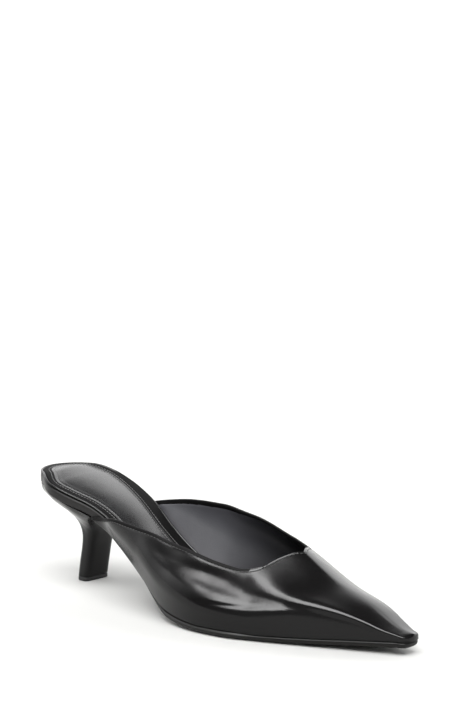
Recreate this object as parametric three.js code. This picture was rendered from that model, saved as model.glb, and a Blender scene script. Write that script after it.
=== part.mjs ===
// Pointed toe mule on a slim slanted heel: the right shoe of a pair, at its real size.
// Millimetres, +Z up. The toe points along +X and the outer side of the foot is -Y.
// Lengths along the shoe are measured from the back of the seat.
import * as THREE from 'three';
import { mergeVertices } from 'three/addons/utils/BufferGeometryUtils.js';

// Driving dimensions.
const shoeLength = 242.4;
const ballWidth = 75.6; // across the feather line, outer joint plus inner joint
const heelHeight = 50.4; // floor to the feather line at the back of the seat
const instepHeight = 41.3; // scale of the instep: the crest and the ridges are shares of it
const toeSpring = 3.2;
const seatRound = 24; // length of the round end of the seat
const snipDepth = 5; // length over which the squared toe tip rounds off
const crestRound = 7; // width of the soft crest along the vamp
const upperWall = 1.6; // outer leather and lining together
const boardAtSeat = 4.6;
const boardAtBall = 1.6;
const sockThickness = 1.3;
const soleThickness = 3.1;
const waistSoleThickness = 2;
const soleSetBack = 0.6; // the sole edge stands this far inside the feather line
const waistSetBack = 3;
const soleBevel = 0.9;
const tipThickness = 2;
const heelTipLength = 8.8;
const heelTipWidth = 17;
const heelTipBack = 24.9; // back of the seat to the back of the top piece
const heelBreast = 51; // back of the seat to the front of the heel under the sole
const heelSetBack = 0.3;
const wingBack = 51.5; // back of the seat to where the upper starts
const throatBack = 66.8; // tip of the toe to the tip of the throat
const insoleStep = 16; // length over which the insole steps in behind the wings
const insoleSetBack = 6; // tip of the toe to the front of the insole
const sockSetBack = 14;
const clearance = 0.3;

// The last, a row for each section. at is a share of shoeLength. heel and spring are shares of
// heelHeight and toeSpring by which the feather line rises. outer and inner are the half widths
// of the feather line, and outerSwell and innerSwell how far the wall stands out past it, as
// shares of ballWidth. crest, outerRidge and innerRidge are heights over the feather line, as
// shares of instepHeight. crease is 1 where the wall turns into the top in one soft arch.
const last = [
  { at: 0, heel: 1, spring: 0, outer: 0.275, inner: 0.272, outerSwell: 0, innerSwell: 0,
    crest: 1.6, outerRidge: 0.15, innerRidge: 0.15, crease: 1 },
  { at: 0.05, heel: 0.998, spring: 0, outer: 0.275, inner: 0.272, outerSwell: 0, innerSwell: 0,
    crest: 1.55, outerRidge: 0.15, innerRidge: 0.15, crease: 1 },
  { at: 0.1, heel: 0.93, spring: 0, outer: 0.328, inner: 0.31, outerSwell: 0, innerSwell: 0,
    crest: 1.5, outerRidge: 0.15, innerRidge: 0.15, crease: 1 },
  { at: 0.15, heel: 0.85, spring: 0, outer: 0.312, inner: 0.31, outerSwell: 0.012, innerSwell: 0.015,
    crest: 1.42, outerRidge: 0.2, innerRidge: 0.2, crease: 1 },
  { at: 0.2, heel: 0.76, spring: 0, outer: 0.288, inner: 0.308, outerSwell: 0.03, innerSwell: 0.04,
    crest: 1.36, outerRidge: 0.24, innerRidge: 0.24, crease: 1 },
  { at: 0.25, heel: 0.645, spring: 0, outer: 0.276, inner: 0.276, outerSwell: 0.066, innerSwell: 0.093,
    crest: 1.32, outerRidge: 0.34, innerRidge: 0.36, crease: 1 },
  { at: 0.3, heel: 0.5, spring: 0, outer: 0.295, inner: 0.242, outerSwell: 0.12, innerSwell: 0.16,
    crest: 1.31, outerRidge: 0.44, innerRidge: 0.53, crease: 1 },
  { at: 0.4, heel: 0.24, spring: 0, outer: 0.388, inner: 0.225, outerSwell: 0.093, innerSwell: 0.209,
    crest: 1.32, outerRidge: 0.53, innerRidge: 0.75, crease: 1 },
  { at: 0.5, heel: 0.044, spring: 0, outer: 0.505, inner: 0.305, outerSwell: 0.033, innerSwell: 0.132,
    crest: 1.27, outerRidge: 0.51, innerRidge: 0.82, crease: 1 },
  { at: 0.6, heel: 0, spring: 0, outer: 0.543, inner: 0.437, outerSwell: 0.013, innerSwell: 0.04,
    crest: 1.09, outerRidge: 0.39, innerRidge: 0.68, crease: 1 },
  { at: 0.7, heel: 0, spring: 0, outer: 0.482, inner: 0.465, outerSwell: 0.007, innerSwell: 0.013,
    crest: 0.903, outerRidge: 0.34, innerRidge: 0.41, crease: 1 },
  { at: 0.8, heel: 0, spring: 0.22, outer: 0.351, inner: 0.345, outerSwell: -0.012, innerSwell: 0,
    crest: 0.57, outerRidge: 0.4, innerRidge: 0.3, crease: 0.6 },
  { at: 0.9, heel: 0, spring: 0.66, outer: 0.207, inner: 0.195, outerSwell: -0.004, innerSwell: 0,
    crest: 0.35, outerRidge: 0.257, innerRidge: 0.222, crease: 0.35 },
  { at: 0.975, heel: 0, spring: 0.95, outer: 0.095, inner: 0.088, outerSwell: 0, innerSwell: 0,
    crest: 0.112, outerRidge: 0.1, innerRidge: 0.1, crease: 0.3 },
  { at: 1, heel: 0, spring: 1, outer: 0.053, inner: 0.053, outerSwell: 0, innerSwell: 0,
    crest: 0.085, outerRidge: 0.05, innerRidge: 0.05, crease: 0.3 },
];

// The topline, a row for each section. at is a share of the way from the back of the wings to
// the tip of the throat. outer and inner are shares of the girth from the feather line to the
// crest that the leather covers.
const topline = [
  { at: 0, outer: 0.015, inner: 0.035 },
  { at: 0.08, outer: 0.11, inner: 0.156 },
  { at: 0.17, outer: 0.25, inner: 0.288 },
  { at: 0.27, outer: 0.334, inner: 0.396 },
  { at: 0.37, outer: 0.4, inner: 0.474 },
  { at: 0.46, outer: 0.45, inner: 0.534 },
  { at: 0.56, outer: 0.485, inner: 0.587 },
  { at: 0.66, outer: 0.501, inner: 0.596 },
  { at: 0.76, outer: 0.514, inner: 0.572 },
  { at: 0.835, outer: 0.525, inner: 0.58 },
  { at: 0.875, outer: 0.55, inner: 0.62 },
  { at: 0.915, outer: 0.62, inner: 0.72 },
  { at: 0.95, outer: 0.79, inner: 0.84 },
  { at: 0.975, outer: 0.905, inner: 0.92 },
  { at: 1, outer: 1, inner: 1 },
];

// The heel, a row for each level, as a share of the way up from the top piece to the seat. back
// and breast are shares of heelBreast and width a share of heelTipWidth.
const heelLevels = [
  { level: 0, back: 0.488, breast: 0.661, width: 1 },
  { level: 0.2, back: 0.522, breast: 0.688, width: 1 },
  { level: 0.4, back: 0.558, breast: 0.716, width: 1.01 },
  { level: 0.5, back: 0.555, breast: 0.732, width: 1.04 },
  { level: 0.6, back: 0.507, breast: 0.755, width: 1.11 },
  { level: 0.7, back: 0.396, breast: 0.784, width: 1.28 },
  { level: 0.8, back: 0.226, breast: 0.828, width: 1.66 },
  { level: 0.9, back: 0.075, breast: 0.892, width: 2.26 },
  { level: 1, back: 0.006, breast: 1, width: 2.9 },
];

const clamp01 = (value) => Math.min(1, Math.max(0, value));
const mix = (a, b, t) => a + (b - a) * t;
const smoothStep = (t) => clamp01(t) ** 2 * (3 - 2 * clamp01(t));

// A curve through one column of a table that never swings past its rows.
function steadyCurve(rows, key, column) {
  const x = rows.map((row) => row[key]);
  const y = rows.map((row) => row[column]);
  const slope = x.slice(1).map((_, i) => (y[i + 1] - y[i]) / (x[i + 1] - x[i]));
  const tangent = y.map((_, i) => {
    if (i === 0) return slope[0];
    if (i === y.length - 1) return slope[i - 1];
    const before = slope[i - 1];
    const after = slope[i];
    return before * after <= 0 ? 0 : (2 * before * after) / (before + after);
  });
  return (at) => {
    const i = Math.max(0, Math.min(x.length - 2, x.findIndex((value) => value > at) - 1));
    const k = at >= x[x.length - 1] ? x.length - 2 : i;
    const width = x[k + 1] - x[k];
    const t = clamp01((at - x[k]) / width);
    return (1 + 2 * t) * (1 - t) ** 2 * y[k] + t * (1 - t) ** 2 * width * tangent[k]
      + t * t * (3 - 2 * t) * y[k + 1] + t * t * (t - 1) * width * tangent[k + 1];
  };
}

// The smoothest curve through one column of a table, with its ends left straight.
function smoothCurve(rows, key, column) {
  const x = rows.map((row) => row[key]);
  const y = rows.map((row) => row[column]);
  const count = x.length;
  const bend = new Array(count).fill(0);
  const carry = new Array(count).fill(0);
  for (let i = 1; i < count - 1; i += 1) {
    const share = (x[i] - x[i - 1]) / (x[i + 1] - x[i - 1]);
    const pivot = share * bend[i - 1] + 2;
    bend[i] = (share - 1) / pivot;
    const turn = (y[i + 1] - y[i]) / (x[i + 1] - x[i]) - (y[i] - y[i - 1]) / (x[i] - x[i - 1]);
    carry[i] = ((6 * turn) / (x[i + 1] - x[i - 1]) - share * carry[i - 1]) / pivot;
  }
  bend[count - 1] = 0;
  for (let i = count - 2; i >= 0; i -= 1) bend[i] = bend[i] * bend[i + 1] + carry[i];
  return (at) => {
    let i = 0;
    while (i < count - 2 && x[i + 1] < at) i += 1;
    const width = x[i + 1] - x[i];
    const a = (x[i + 1] - at) / width;
    const b = (at - x[i]) / width;
    return a * y[i] + b * y[i + 1] + (((a ** 3 - a) * bend[i] + (b ** 3 - b) * bend[i + 1]) * width ** 2) / 6;
  };
}

const heelRise = steadyCurve(last, 'at', 'heel');
const springRise = steadyCurve(last, 'at', 'spring');
const shape = {};
for (const column of ['outer', 'inner', 'crest', 'outerRidge', 'innerRidge', 'crease']) {
  shape[column] = smoothCurve(last, 'at', column);
}
for (const column of ['outerSwell', 'innerSwell']) shape[column] = steadyCurve(last, 'at', column);

// Height of the feather line, where upper, insole and sole meet.
const ballRise = soleThickness + clearance;
function feather(x) {
  const at = x / shoeLength;
  return ballRise + heelRise(at) * (heelHeight - ballRise) + springRise(at) * toeSpring;
}

// Half width of the feather line, or of a line the given inset inside it. side is -1 for the
// outer side of the foot and 1 for the inner.
function halfWidth(x, side, inset = 0) {
  const at = Math.min(Math.max(x / shoeLength, last[1].at), 1 - snipDepth / shoeLength);
  const full = shape[side < 0 ? 'outer' : 'inner'](at) * ballWidth - inset;
  const fromBack = clamp01(x / seatRound);
  const snipStart = shoeLength - snipDepth;
  const pastSnip = clamp01((x - snipStart) / (snipDepth - inset));
  const snipPower = 2.6;
  const closing = pastSnip > 0.999999 ? 0 : (1 - pastSnip ** snipPower) ** (1 / snipPower);
  return full * Math.sqrt(1 - (1 - fromBack) ** 2) * closing;
}

// One half section of the upper, from the feather line to the crest, as points [y, z] at equal
// steps. inset shrinks it to the inside of the wall.
function halfSection(x, side, topShare, steps, inset = 0) {
  const at = Math.min(x / shoeLength, 1);
  const word = side < 0 ? 'outer' : 'inner';
  const width = halfWidth(x, side, inset);
  const crest = shape.crest(at) * instepHeight - inset;
  const ridge = shape[`${word}Ridge`](at) * instepHeight - inset / 2;
  const swell = shape[`${word}Swell`](at) * ballWidth;
  const flat = Math.min(crestRound / 2, 0.45 * width);
  const corners = [[width, 0], [width + swell, ridge], [flat, crest], [0, crest]];
  const softness = [0.475 * clamp01(shape.crease(at)), 0.475];
  const points = [corners[0]];
  for (const k of [1, 2]) {
    const [before, corner, after] = corners.slice(k - 1, k + 2);
    const onward = k === 2 ? 0.95 : softness[0];
    const start = corner.map((value, axis) => mix(value, before[axis], softness[k - 1]));
    const end = corner.map((value, axis) => mix(value, after[axis], onward));
    const turns = 14;
    for (let i = 0; i <= turns; i += 1) {
      const t = i / turns;
      points.push(corner.map((value, axis) => (1 - t) ** 2 * start[axis] + 2 * t * (1 - t) * value + t * t * end[axis]));
    }
  }
  points.push(corners[3]);
  const lengths = [0];
  for (let i = 1; i < points.length; i += 1) {
    lengths.push(lengths[i - 1] + Math.hypot(points[i][0] - points[i - 1][0], points[i][1] - points[i - 1][1]));
  }
  const girth = lengths[lengths.length - 1] * topShare;
  const base = feather(x);
  return Array.from({ length: steps + 1 }, (_, step) => {
    const goal = (girth * step) / steps;
    let i = 1;
    while (i < points.length - 1 && lengths[i] < goal) i += 1;
    const t = clamp01((goal - lengths[i - 1]) / (lengths[i] - lengths[i - 1]));
    return [side * mix(points[i - 1][0], points[i][0], t), base + mix(points[i - 1][1], points[i][1], t)];
  });
}

// A closed body from faces given as corner points, each listed the way its outside is seen.
function solid(faces) {
  const positions = [];
  const same = (a, b) => Math.hypot(a[0] - b[0], a[1] - b[1], a[2] - b[2]) < 1e-6;
  for (const [a, b, c, d] of faces) {
    for (const triangle of d ? [[a, b, c], [a, c, d]] : [[a, b, c]]) {
      const [p, q, r] = triangle;
      if (!same(p, q) && !same(q, r) && !same(r, p)) positions.push(...p, ...q, ...r);
    }
  }
  const geometry = new THREE.BufferGeometry();
  geometry.setAttribute('position', new THREE.Float32BufferAttribute(positions, 3));
  const merged = mergeVertices(geometry, 1e-4);
  merged.computeVertexNormals();
  return merged;
}

// Faces between two rows of points; flip turns them to face the other way.
function strip(first, second, flip) {
  const faces = [];
  for (let i = 0; i < first.length - 1; i += 1) {
    const face = [first[i], second[i], second[i + 1], first[i + 1]];
    faces.push(flip ? face.reverse() : face);
  }
  return faces;
}

// Stations along the shoe, closer together round the seat and at the toe tip.
function stations(start, end, count, roundStart, roundEnd) {
  const places = [];
  if (roundStart) for (let i = 0; i < 8; i += 1) places.push(start + roundStart * (1 - Math.cos((i / 8) * (Math.PI / 2))));
  const from = start + (roundStart || 0);
  const to = end - (roundEnd || 0);
  for (let i = 0; i <= count; i += 1) places.push(mix(from, to, i / count));
  if (roundEnd) for (let i = 1; i <= 6; i += 1) places.push(to + roundEnd * Math.sin((i / 6) * (Math.PI / 2)));
  return places;
}

// A board that follows the feather line: low and high give the height of its two faces, and
// lowHalf and highHalf the half width of each face at a place along the shoe. lowPlace moves a
// place of the low face back from the one above it.
function plate(places, lowHalf, highHalf, low, high, lowPlace = (x) => x) {
  const rings = places.map((x) => {
    const under = lowPlace(x);
    return [
      [under, -lowHalf(under, -1), low(under)], [under, lowHalf(under, 1), low(under)],
      [x, highHalf(x, 1), high(x)], [x, -highHalf(x, -1), high(x)],
    ];
  });
  const faces = [];
  rings.slice(1).forEach((ring, i) => {
    for (let k = 0; k < 4; k += 1) {
      const next = (k + 1) % 4;
      faces.push([rings[i][k], ring[k], ring[next], rings[i][next]].reverse());
    }
  });
  faces.push([...rings[0]].reverse());
  faces.push(rings[rings.length - 1]);
  return solid(faces);
}

// The upper: one hollow shell from the wings to the toe tip, open at the collar and underneath.
function upper() {
  const steps = 14;
  const throat = shoeLength - throatBack;
  const coverage = { outer: steadyCurve(topline, 'at', 'outer'), inner: steadyCurve(topline, 'at', 'inner') };
  const behind = stations(wingBack, throat, 26);
  const sheets = {};
  for (const [name, inset] of [['outside', 0], ['inside', upperWall]]) {
    const ahead = stations(throat, shoeLength - inset, 14, 0, snipDepth - inset).slice(1);
    sheets[name] = [-1, 1].map((side) => [...behind, ...ahead].map((x) => {
      const share = x >= throat ? 1 : coverage[side < 0 ? 'outer' : 'inner']((x - wingBack) / (throat - wingBack));
      return halfSection(x, side, share, steps, inset).map(([y, z]) => [x, y, z]);
    }));
  }
  const faces = [];
  [0, 1].forEach((half) => {
    const out = sheets.outside[half];
    const inn = sheets.inside[half];
    const turned = half === 1;
    for (let i = 0; i < out.length - 1; i += 1) {
      faces.push(...strip(out[i], out[i + 1], turned));
      faces.push(...strip(inn[i], inn[i + 1], !turned));
      faces.push(...strip([inn[i][0], out[i][0]], [inn[i + 1][0], out[i + 1][0]], turned));
      if (i < behind.length - 1) faces.push(...strip([out[i][steps], inn[i][steps]], [out[i + 1][steps], inn[i + 1][steps]], turned));
    }
    faces.push(...strip(inn[0], out[0], turned));
  });
  return solid(faces);
}

// Thickness of the insole board, firm under the heel and thin from the ball forward.
const boardThickness = (x) => mix(boardAtSeat, boardAtBall, smoothStep((x - wingBack) / (0.3 * shoeLength)));
const boardTop = (x) => feather(x) + boardThickness(x);

// How far the insole stands inside the feather line: flush round the seat, inside the wall ahead.
const steppedIn = wingBack - clearance;
const insoleInset = (x) => (upperWall + clearance) * smoothStep((x - steppedIn + insoleStep) / insoleStep);
const insoleHalf = (x, side) => halfWidth(x, side, insoleInset(x));
const insolePlaces = (end) => [
  ...stations(0, steppedIn - insoleStep, 4, seatRound),
  ...stations(steppedIn - insoleStep, steppedIn, 6).slice(1),
  ...stations(steppedIn, end, 28).slice(1),
];

function insole() {
  return plate(insolePlaces(shoeLength - insoleSetBack), insoleHalf, insoleHalf, feather, boardTop);
}

function sockLining() {
  const low = (x) => boardTop(x) + clearance;
  const high = (x) => low(x) + sockThickness;
  return plate(insolePlaces(shoeLength - sockSetBack), insoleHalf, insoleHalf, low, high);
}

// The outsole runs from the breast of the heel to the toe and lies flat under the ball.
function outsole() {
  const start = heelBreast + clearance;
  const reach = (x) => smoothStep((x / shoeLength - 0.29) / 0.17);
  const setBack = (x) => mix(waistSetBack, soleSetBack, reach(x));
  const thickness = (x) => mix(waistSoleThickness, soleThickness, reach(x));
  const end = shoeLength - soleSetBack;
  const half = (x, side) => halfWidth(x, side, setBack(x));
  const treadHalf = (x, side) => halfWidth(x, side, setBack(x) + soleBevel);
  const treadPlace = (x) => x - soleBevel * smoothStep((x - end + snipDepth) / snipDepth);
  const low = (x) => Math.max(0, feather(x) - clearance - thickness(x));
  const high = (x) => feather(x) - clearance;
  return plate(stations(start, end, 34, 0, snipDepth - soleSetBack), treadHalf, half, low, high, treadPlace);
}

// Outline of the heel at one level, from the back round the inner side, with a round back and a
// squarer breast.
function heelRing(row, points) {
  const back = row.back * heelBreast;
  const breast = row.breast * heelBreast;
  const middle = mix(back, breast, 0.5);
  const frontPower = 5;
  const backPower = 2.2;
  return Array.from({ length: points }, (_, i) => {
    const angle = (i / points) * 2 * Math.PI;
    const power = 2 / (Math.cos(angle) > 0 ? frontPower : backPower);
    const ahead = Math.sign(Math.cos(angle)) * Math.abs(Math.cos(angle)) ** power;
    const aside = Math.sign(Math.sin(angle)) * Math.abs(Math.sin(angle)) ** power;
    const x = middle + ahead * (ahead > 0 ? breast - middle : middle - back);
    const column = aside * row.width * heelTipWidth / 2;
    const onSeat = Math.max(0, halfWidth(x, aside < 0 ? -1 : 1) - heelSetBack);
    return [x, Math.sign(aside) * Math.min(Math.abs(column), onSeat)];
  });
}

const ringPoints = 32;

function heel() {
  const curves = {};
  for (const column of ['back', 'breast', 'width']) curves[column] = steadyCurve(heelLevels, 'level', column);
  const levels = 20;
  const rowAt = (level) => ({ level, back: curves.back(level), breast: curves.breast(level), width: curves.width(level) });
  const top = heelRing(rowAt(1), ringPoints);
  const seatHeight = (x) => feather(x) - clearance;
  const rings = Array.from({ length: levels + 1 }, (_, i) => {
    const level = i / levels;
    return heelRing(rowAt(level), ringPoints).map(([x, y], k) => [x, y, mix(tipThickness, seatHeight(top[k][0]), level)]);
  });
  const faces = [];
  for (let i = 0; i < levels; i += 1) {
    for (let k = 0; k < ringPoints; k += 1) {
      const next = (k + 1) % ringPoints;
      faces.push([rings[i][k], rings[i][next], rings[i + 1][next], rings[i + 1][k]]);
    }
  }
  faces.push(...capAcross(rings[levels]));
  faces.push(...capAcross(rings[0]).map((face) => [...face].reverse()));
  return solid(faces);
}

// Closes a ring with cross strips, so that the cap follows the ring's own heights along the shoe.
function capAcross(ring) {
  const faces = [];
  const count = ring.length;
  for (let k = 0; k < count / 2; k += 1) {
    faces.push([ring[k], ring[k + 1], ring[(count - k - 1) % count], ring[(count - k) % count]]);
  }
  return faces;
}

// The top piece under the heel, flat on the floor.
function heelTip() {
  const row = { level: 0, back: heelTipBack / heelBreast, breast: (heelTipBack + heelTipLength) / heelBreast, width: 1 };
  const ring = heelRing(row, ringPoints);
  const low = ring.map(([x, y]) => [x, y, 0]);
  const high = ring.map(([x, y]) => [x, y, tipThickness]);
  const faces = ring.map((_, k) => {
    const next = (k + 1) % ringPoints;
    return [low[k], low[next], high[next], high[k]];
  });
  faces.push(...capAcross(high));
  faces.push(...capAcross(low).map((face) => [...face].reverse()));
  return solid(faces);
}

const leather = { color: 0x1c1b1c, roughness: 0.32, metalness: 0 };
const pieces = [
  ['upper', upper(), leather],
  ['insole', insole(), leather],
  ['sock_lining', sockLining(), { color: 0x3a393b, roughness: 0.35, metalness: 0 }],
  ['outsole', outsole(), { color: 0x151515, roughness: 0.5, metalness: 0 }],
  ['heel', heel(), leather],
  ['heel_tip', heelTip(), { color: 0x101010, roughness: 0.7, metalness: 0 }],
];

const group = new THREE.Group();
for (const [name, geometry, finish] of pieces) {
  const mesh = new THREE.Mesh(geometry, new THREE.MeshStandardMaterial(finish));
  mesh.name = name;
  group.add(mesh);
}

// The origin is on the floor under the middle of the shoe's box.
const box = new THREE.Box3().setFromObject(group);
const centre = box.getCenter(new THREE.Vector3());
group.position.set(-centre.x, -centre.y, -box.min.z);

export default group;
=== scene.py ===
import math

import bmesh
import bpy
import numpy as np
from mathutils import Matrix, Vector
from mathutils.bvhtree import BVHTree


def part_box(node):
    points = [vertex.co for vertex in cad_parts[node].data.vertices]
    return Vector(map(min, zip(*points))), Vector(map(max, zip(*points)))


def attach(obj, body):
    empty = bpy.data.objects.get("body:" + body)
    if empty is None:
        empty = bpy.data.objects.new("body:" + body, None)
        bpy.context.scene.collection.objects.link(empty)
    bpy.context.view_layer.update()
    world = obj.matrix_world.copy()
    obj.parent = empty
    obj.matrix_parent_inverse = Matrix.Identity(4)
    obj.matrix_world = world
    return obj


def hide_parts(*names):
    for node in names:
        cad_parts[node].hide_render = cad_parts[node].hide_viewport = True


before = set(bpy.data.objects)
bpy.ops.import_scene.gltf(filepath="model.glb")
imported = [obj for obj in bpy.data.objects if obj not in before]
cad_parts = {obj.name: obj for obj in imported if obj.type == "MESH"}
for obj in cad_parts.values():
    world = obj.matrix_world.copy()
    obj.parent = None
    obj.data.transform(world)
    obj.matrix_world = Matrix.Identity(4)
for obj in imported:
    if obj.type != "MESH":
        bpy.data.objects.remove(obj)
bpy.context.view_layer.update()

# Upper: smooth black calf pulled over a pointed last, folded at the topline and cut to a V at the
# throat. It is lasted under at the feather line, where the sole is cemented to it.
mm = 0.001
shoe_length = 242.4
ball_width = 75.6
heel_height = 50.4
instep_height = 41.3
toe_spring = 3.2
seat_round = 24
snip_depth = 5
crest_round = 7
upper_wall = 1.6
sole_thickness = 3.1
clearance = 0.3
wing_back = 51.5
throat = shoe_length - 66.8
feather_roll = 0.5
fold_depth = 1.3
snip_power = 2.6
bend_share = 0.475
bend_points = 25
toe_narrows_at = 0.86

last_columns = ("at", "heel", "spring", "outer", "inner", "outer_swell", "inner_swell",
                "crest", "outer_ridge", "inner_ridge", "crease")
last_rows = (
    (0, 1, 0, 0.275, 0.272, 0, 0, 1.6, 0.15, 0.15, 1),
    (0.05, 0.998, 0, 0.275, 0.272, 0, 0, 1.55, 0.15, 0.15, 1),
    (0.1, 0.93, 0, 0.328, 0.31, 0, 0, 1.5, 0.15, 0.15, 1),
    (0.15, 0.85, 0, 0.312, 0.31, 0.012, 0.015, 1.42, 0.2, 0.2, 1),
    (0.2, 0.76, 0, 0.288, 0.308, 0.03, 0.04, 1.36, 0.24, 0.24, 1),
    (0.25, 0.645, 0, 0.276, 0.276, 0.066, 0.093, 1.32, 0.34, 0.36, 1),
    (0.3, 0.5, 0, 0.295, 0.242, 0.12, 0.16, 1.31, 0.44, 0.53, 1),
    (0.4, 0.24, 0, 0.388, 0.225, 0.093, 0.209, 1.32, 0.53, 0.75, 1),
    (0.5, 0.044, 0, 0.505, 0.305, 0.033, 0.132, 1.27, 0.51, 0.82, 1),
    (0.6, 0, 0, 0.543, 0.437, 0.013, 0.04, 1.09, 0.39, 0.68, 1),
    (0.7, 0, 0, 0.482, 0.465, 0.007, 0.013, 0.903, 0.34, 0.41, 1),
    (0.8, 0, 0.22, 0.351, 0.345, -0.012, 0, 0.57, 0.4, 0.3, 0.6),
    (0.9, 0, 0.66, 0.207, 0.195, -0.004, 0, 0.33, 0.257, 0.222, 0.35),
    (0.975, 0, 0.95, 0.095, 0.088, 0, 0, 0.112, 0.086, 0.086, 0.3),
    (1, 0, 1, 0.053, 0.053, 0, 0, 0.085, 0.05, 0.05, 0.3),
)
topline_columns = ("at", "outer", "inner")
topline_rows = (
    (0, 0.015, 0.035), (0.08, 0.11, 0.156), (0.17, 0.25, 0.288), (0.27, 0.334, 0.396),
    (0.37, 0.4, 0.474), (0.46, 0.45, 0.534), (0.56, 0.485, 0.587), (0.66, 0.501, 0.596),
    (0.76, 0.514, 0.572), (0.835, 0.525, 0.58), (0.875, 0.55, 0.62), (0.915, 0.62, 0.72),
    (0.95, 0.79, 0.84), (0.975, 0.905, 0.92), (1, 1, 1),
)


def smooth_step(value):
    value = np.clip(value, 0, 1)
    return value * value * (3 - 2 * value)


def steady_curve(xs, ys):
    """A curve through one column of a table that never swings past its rows."""
    xs, ys = np.array(xs, float), np.array(ys, float)
    slope = np.diff(ys) / np.diff(xs)
    tangent = np.concatenate(([slope[0]], np.zeros(len(xs) - 2), [slope[-1]]))
    for i in range(1, len(xs) - 1):
        product = slope[i - 1] * slope[i]
        tangent[i] = 0 if product <= 0 else 2 * product / (slope[i - 1] + slope[i])

    def value(at):
        k = np.clip(np.searchsorted(xs, at, side="right") - 1, 0, len(xs) - 2)
        width = xs[k + 1] - xs[k]
        t = np.clip((at - xs[k]) / width, 0, 1)
        return ((1 + 2 * t) * (1 - t) ** 2 * ys[k] + t * (1 - t) ** 2 * width * tangent[k]
                + t * t * (3 - 2 * t) * ys[k + 1] + t * t * (t - 1) * width * tangent[k + 1])

    return value


def smooth_curve(xs, ys):
    """The smoothest curve through one column of a table, with its ends left straight."""
    xs, ys = np.array(xs, float), np.array(ys, float)
    count = len(xs)
    system, load = np.eye(count), np.zeros(count)
    for i in range(1, count - 1):
        before, after = xs[i] - xs[i - 1], xs[i + 1] - xs[i]
        system[i, i - 1:i + 2] = before, 2 * (before + after), after
        load[i] = 6 * ((ys[i + 1] - ys[i]) / after - (ys[i] - ys[i - 1]) / before)
    bend = np.linalg.solve(system, load)

    def value(at):
        k = np.clip(np.searchsorted(xs, at, side="right") - 1, 0, count - 2)
        width = xs[k + 1] - xs[k]
        a, b = (xs[k + 1] - at) / width, (at - xs[k]) / width
        return (a * ys[k] + b * ys[k + 1]
                + ((a ** 3 - a) * bend[k] + (b ** 3 - b) * bend[k + 1]) * width ** 2 / 6)

    return value


last = dict(zip(last_columns, zip(*last_rows)))
steady_columns = ("heel", "spring", "outer_swell", "inner_swell")
shape = {name: (steady_curve if name in steady_columns else smooth_curve)(last["at"], last[name])
         for name in last_columns[1:]}
ball_rise = sole_thickness + clearance


def feather(x):
    """Height of the feather line, where upper, insole and sole meet."""
    at = x / shoe_length
    return ball_rise + shape["heel"](at) * (heel_height - ball_rise) + shape["spring"](at) * toe_spring


def half_width(x, side, inset=0):
    """Half width of the feather line, or of a line the given inset inside it."""
    at = np.clip(x / shoe_length, last["at"][1], 1 - snip_depth / shoe_length)
    full = shape["outer" if side < 0 else "inner"](at) * ball_width - inset
    from_back = np.clip(x / seat_round, 0, 1)
    past_snip = np.clip((x - shoe_length + snip_depth) / (snip_depth - inset), 0, 1)
    closing = (1 - past_snip ** snip_power) ** (1 / snip_power)
    return full * np.sqrt(1 - (1 - from_back) ** 2) * closing


def half_section(x, side, inset=0):
    """Half a section of the last from the feather line to the crest, with its running length."""
    at = min(x / shoe_length, 1)
    word = "outer" if side < 0 else "inner"
    width = float(half_width(x, side, inset))
    crest = shape["crest"](at) * instep_height - inset
    ridge = shape[word + "_ridge"](at) * instep_height - inset / 2
    swell = shape[word + "_swell"](at) * ball_width
    flat = min(crest_round / 2, (0.45 - 0.3 * smooth_step((at - toe_narrows_at) / 0.1)) * width)
    corners = np.array([(width, 0), (width + swell, ridge), (flat, crest), (0, crest)], float)
    crease = bend_share * float(np.clip(shape["crease"](at), 0, 1))
    points = [corners[0]]
    for k, back, ahead in ((1, crease, crease), (2, bend_share, 2 * bend_share)):
        start = corners[k] + (corners[k - 1] - corners[k]) * back
        end = corners[k] + (corners[k + 1] - corners[k]) * ahead
        for t in np.linspace(0, 1, bend_points):
            points.append((1 - t) ** 2 * start + 2 * t * (1 - t) * corners[k] + t * t * end)
    points.append(corners[3])
    points = np.array(points)
    lengths = np.concatenate(([0], np.cumsum(np.linalg.norm(np.diff(points, axis=0), axis=1))))
    return points, lengths


opening_stations, vamp_stations, tip_stations = 130, 80, 13


def upper_places(inset):
    """Stations along the upper, closer together at the throat and at the toe tip."""
    behind = wing_back + (throat - wing_back) * np.sin(
        np.linspace(0, 1, opening_stations) * math.pi / 2)
    snip = shoe_length - snip_depth
    ahead = np.linspace(throat, snip, vamp_stations)[1:]
    turns = np.linspace(0, 1, tip_stations)[1:] * math.pi / 2
    tip = snip + (snip_depth - inset) * np.sin(turns)
    return np.concatenate((behind, ahead, tip)), len(behind)


topline = dict(zip(topline_columns, zip(*topline_rows)))
covered = {side: steady_curve(topline["at"], topline[word])
           for side, word in ((-1, "outer"), (1, "inner"))}
upper_steps = 56
edge_gather = 1.5
roll_turns = 5


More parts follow.
